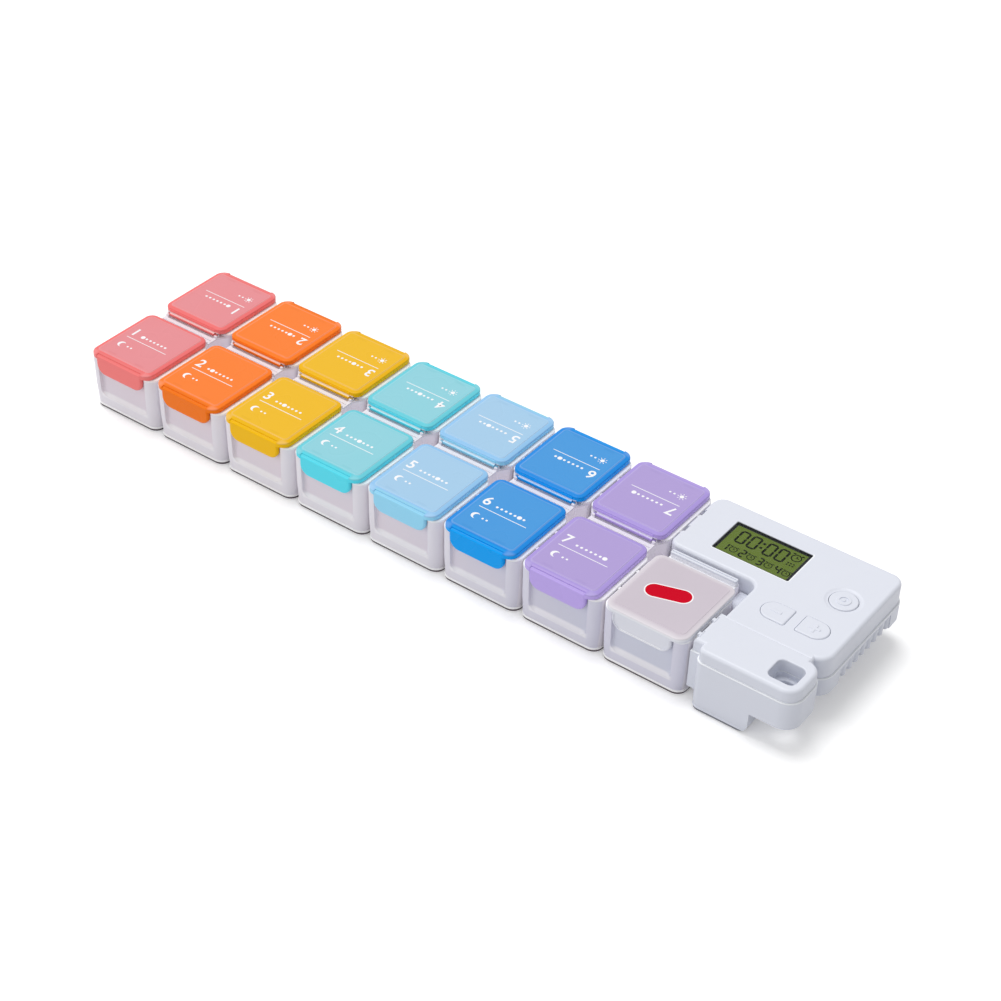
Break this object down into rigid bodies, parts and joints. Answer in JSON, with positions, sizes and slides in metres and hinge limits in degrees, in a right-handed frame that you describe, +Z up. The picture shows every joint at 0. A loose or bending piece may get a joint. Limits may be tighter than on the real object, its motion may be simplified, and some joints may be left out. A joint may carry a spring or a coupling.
{
  "type": "weekly pill box with alarm timer",
  "caption": "Long pill box of lift-off day trays with coloured hinged lids in two rows, and an alarm timer with a display and buttons at one end.",
  "frame": {"origin": "centre of the footprint, on the surface the box stands on", "axes": "+X along the row of days towards the timer, -Y towards the front row of compartments, +Z up"},
  "size_m": [0.302, 0.073, 0.025],
  "materials": {
    "frosted_tray": "frosted translucent moulding",
    "lid_coral": "translucent coral",
    "lid_orange": "translucent orange",
    "lid_yellow": "translucent golden yellow",
    "lid_aqua": "translucent aqua",
    "lid_sky": "translucent sky blue",
    "lid_blue": "translucent blue",
    "lid_lavender": "translucent lavender",
    "lid_milky": "milky translucent",
    "white_case": "satin white",
    "black_plastic": "moulded black",
    "clear_window": "clear",
    "display_glass": "olive liquid-crystal panel",
    "grey_rubber": "elastomer connector",
    "board_green": "circuit board",
    "brass": "plain",
    "battery_sleeve": "plastic sleeve",
    "plated_steel": "nickel plated"
  },
  "bodies": {
    "timer": {"timer_top_case": "white_case", "timer_bottom_case": "white_case", "display_frame": "black_plastic", "display_window": "clear_window", "display_panel": "display_glass", "display_connector_front": "grey_rubber", "display_connector_back": "grey_rubber", "circuit_board": "board_green", "left_button_switch": "black_plastic", "right_button_switch": "black_plastic", "round_button_switch": "black_plastic", "buzzer": "brass", "battery_front": "battery_sleeve", "battery_back": "battery_sleeve", "battery_contact_joined": "plated_steel", "battery_contact_front": "plated_steel", "battery_contact_back": "plated_steel", "battery_spring_front": "plated_steel", "battery_spring_back": "plated_steel", "case_screw_1": "plated_steel", "case_screw_2": "plated_steel", "case_screw_3": "plated_steel", "case_screw_4": "plated_steel"},
    "day_tray_1": {"day_tray_1": "frosted_tray"},
    "front_lid_1": {"front_lid_1": "lid_coral"},
    "back_lid_1": {"back_lid_1": "lid_coral"},
    "day_tray_2": {"day_tray_2": "frosted_tray"},
    "front_lid_2": {"front_lid_2": "lid_orange"},
    "back_lid_2": {"back_lid_2": "lid_orange"},
    "day_tray_3": {"day_tray_3": "frosted_tray"},
    "front_lid_3": {"front_lid_3": "lid_yellow"},
    "back_lid_3": {"back_lid_3": "lid_yellow"},
    "day_tray_4": {"day_tray_4": "frosted_tray"},
    "front_lid_4": {"front_lid_4": "lid_aqua"},
    "back_lid_4": {"back_lid_4": "lid_aqua"},
    "day_tray_5": {"day_tray_5": "frosted_tray"},
    "front_lid_5": {"front_lid_5": "lid_sky"},
    "back_lid_5": {"back_lid_5": "lid_sky"},
    "day_tray_6": {"day_tray_6": "frosted_tray"},
    "front_lid_6": {"front_lid_6": "lid_blue"},
    "back_lid_6": {"back_lid_6": "lid_blue"},
    "day_tray_7": {"day_tray_7": "frosted_tray"},
    "front_lid_7": {"front_lid_7": "lid_lavender"},
    "back_lid_7": {"back_lid_7": "lid_lavender"},
    "spare_tray": {"spare_tray": "frosted_tray"},
    "spare_lid": {"spare_lid": "lid_milky"},
    "left_button": {"left_button": "white_case"},
    "right_button": {"right_button": "white_case"},
    "round_button": {"round_button": "white_case"},
    "battery_cover": {"battery_cover": "white_case"}
  },
  "joints": [
    {"name": "day_tray_1_lift_off", "type": "slide", "parent": "timer", "child": "day_tray_1", "axis": [0, 0, 1], "range_m": [0, 0.03]},
    {"name": "front_lid_1_hinge", "type": "hinge", "parent": "day_tray_1", "child": "front_lid_1", "pos_m": [-0.13493, -0.0032, 0.0222], "axis": [-1, 0, 0], "range_deg": [0, 90]},
    {"name": "back_lid_1_hinge", "type": "hinge", "parent": "day_tray_1", "child": "back_lid_1", "pos_m": [-0.13493, 0.0032, 0.0222], "axis": [1, 0, 0], "range_deg": [0, 90]},
    {"name": "day_tray_2_lift_off", "type": "slide", "parent": "timer", "child": "day_tray_2", "axis": [0, 0, 1], "range_m": [0, 0.03]},
    {"name": "front_lid_2_hinge", "type": "hinge", "parent": "day_tray_2", "child": "front_lid_2", "pos_m": [-0.10219, -0.0032, 0.0222], "axis": [-1, 0, 0], "range_deg": [0, 90]},
    {"name": "back_lid_2_hinge", "type": "hinge", "parent": "day_tray_2", "child": "back_lid_2", "pos_m": [-0.10219, 0.0032, 0.0222], "axis": [1, 0, 0], "range_deg": [0, 90]},
    {"name": "day_tray_3_lift_off", "type": "slide", "parent": "timer", "child": "day_tray_3", "axis": [0, 0, 1], "range_m": [0, 0.03]},
    {"name": "front_lid_3_hinge", "type": "hinge", "parent": "day_tray_3", "child": "front_lid_3", "pos_m": [-0.06945, -0.0032, 0.0222], "axis": [-1, 0, 0], "range_deg": [0, 90]},
    {"name": "back_lid_3_hinge", "type": "hinge", "parent": "day_tray_3", "child": "back_lid_3", "pos_m": [-0.06945, 0.0032, 0.0222], "axis": [1, 0, 0], "range_deg": [0, 90]},
    {"name": "day_tray_4_lift_off", "type": "slide", "parent": "timer", "child": "day_tray_4", "axis": [0, 0, 1], "range_m": [0, 0.03]},
    {"name": "front_lid_4_hinge", "type": "hinge", "parent": "day_tray_4", "child": "front_lid_4", "pos_m": [-0.03671, -0.0032, 0.0222], "axis": [-1, 0, 0], "range_deg": [0, 90]},
    {"name": "back_lid_4_hinge", "type": "hinge", "parent": "day_tray_4", "child": "back_lid_4", "pos_m": [-0.03671, 0.0032, 0.0222], "axis": [1, 0, 0], "range_deg": [0, 90]},
    {"name": "day_tray_5_lift_off", "type": "slide", "parent": "timer", "child": "day_tray_5", "axis": [0, 0, 1], "range_m": [0, 0.03]},
    {"name": "front_lid_5_hinge", "type": "hinge", "parent": "day_tray_5", "child": "front_lid_5", "pos_m": [-0.00397, -0.0032, 0.0222], "axis": [-1, 0, 0], "range_deg": [0, 90]},
    {"name": "back_lid_5_hinge", "type": "hinge", "parent": "day_tray_5", "child": "back_lid_5", "pos_m": [-0.00397, 0.0032, 0.0222], "axis": [1, 0, 0], "range_deg": [0, 90]},
    {"name": "day_tray_6_lift_off", "type": "slide", "parent": "timer", "child": "day_tray_6", "axis": [0, 0, 1], "range_m": [0, 0.03]},
    {"name": "front_lid_6_hinge", "type": "hinge", "parent": "day_tray_6", "child": "front_lid_6", "pos_m": [0.02877, -0.0032, 0.0222], "axis": [-1, 0, 0], "range_deg": [0, 90]},
    {"name": "back_lid_6_hinge", "type": "hinge", "parent": "day_tray_6", "child": "back_lid_6", "pos_m": [0.02877, 0.0032, 0.0222], "axis": [1, 0, 0], "range_deg": [0, 90]},
    {"name": "day_tray_7_lift_off", "type": "slide", "parent": "timer", "child": "day_tray_7", "axis": [0, 0, 1], "range_m": [0, 0.03]},
    {"name": "front_lid_7_hinge", "type": "hinge", "parent": "day_tray_7", "child": "front_lid_7", "pos_m": [0.06151, -0.0032, 0.0222], "axis": [-1, 0, 0], "range_deg": [0, 90]},
    {"name": "back_lid_7_hinge", "type": "hinge", "parent": "day_tray_7", "child": "back_lid_7", "pos_m": [0.06151, 0.0032, 0.0222], "axis": [1, 0, 0], "range_deg": [0, 90]},
    {"name": "spare_tray_lift_off", "type": "slide", "parent": "timer", "child": "spare_tray", "axis": [0, 0, 1], "range_m": [0, 0.03]},
    {"name": "spare_lid_hinge", "type": "hinge", "parent": "spare_tray", "child": "spare_lid", "pos_m": [0.09425, -0.0032, 0.0222], "axis": [-1, 0, 0], "range_deg": [0, 90]},
    {"name": "left_button_press", "type": "slide", "parent": "timer", "child": "left_button", "axis": [0, 0, -1], "range_m": [0, 0.0005], "stiffness_N_per_m": 800},
    {"name": "right_button_press", "type": "slide", "parent": "timer", "child": "right_button", "axis": [0, 0, -1], "range_m": [0, 0.0005], "stiffness_N_per_m": 800},
    {"name": "round_button_press", "type": "slide", "parent": "timer", "child": "round_button", "axis": [0, 0, -1], "range_m": [0, 0.0005], "stiffness_N_per_m": 800},
    {"name": "battery_cover_slide", "type": "slide", "parent": "timer", "child": "battery_cover", "axis": [0, 1, 0], "range_m": [0, 0.025]}
  ]
}
